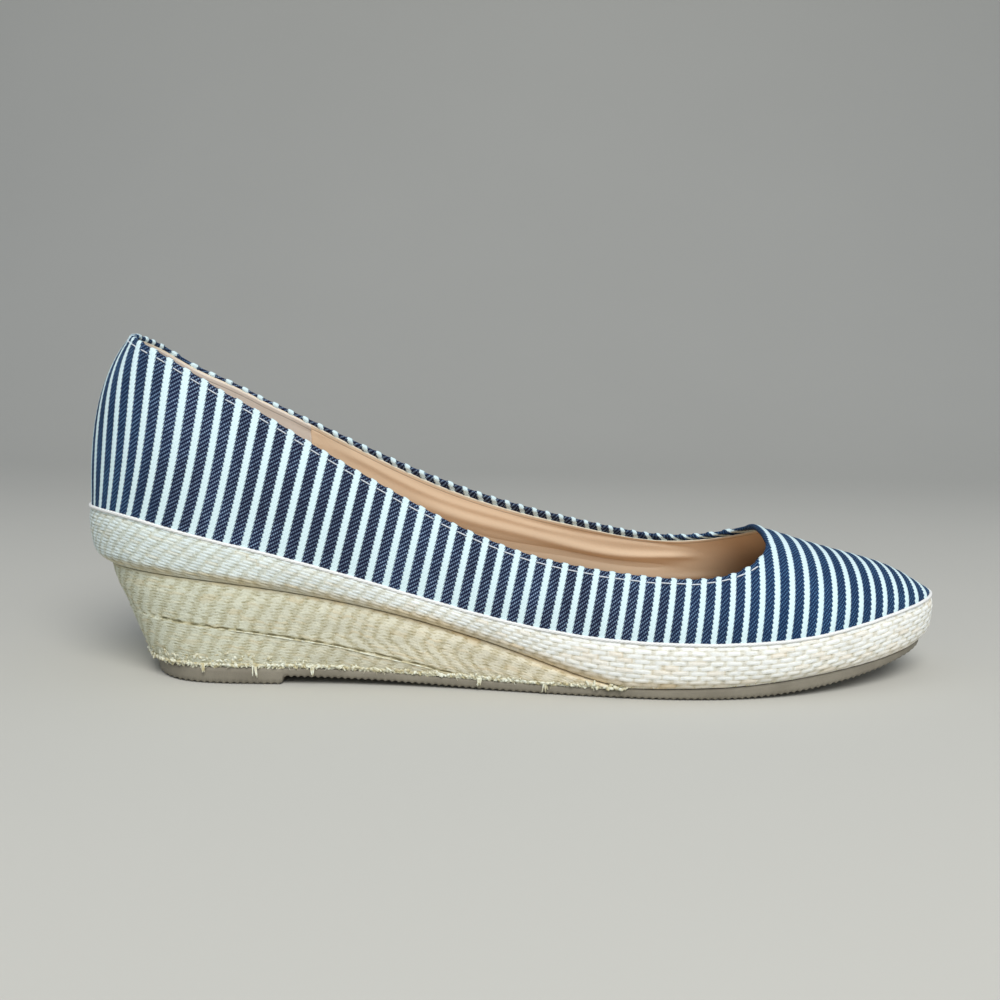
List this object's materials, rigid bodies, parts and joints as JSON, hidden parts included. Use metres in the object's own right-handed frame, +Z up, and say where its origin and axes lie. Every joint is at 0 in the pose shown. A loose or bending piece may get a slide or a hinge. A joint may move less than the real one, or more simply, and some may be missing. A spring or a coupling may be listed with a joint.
{
  "type": "espadrille",
  "caption": "Slip-on low-wedge espadrille with a striped denim upper, jute-wrapped platform and wedge, and a thin rubber sole.",
  "frame": {"origin": "on the floor under the middle of the shoe's bounding box", "axes": "+X from heel to toe, +Y to the inner (medial) side of the foot, +Z up"},
  "size_m": [0.2566, 0.0794, 0.0986],
  "materials": {
    "rubber": "matt taupe rubber",
    "wedge_jute": "natural jute braid",
    "band_jute": "natural jute braid, paler",
    "sock": "smooth tan lining",
    "denim": "navy twill with white stripes"
  },
  "bodies": {
    "root": {"outsole": "rubber", "wedge": "wedge_jute", "midsole": "band_jute", "insole": "sock", "upper": "denim"}
  },
  "joints": []
}
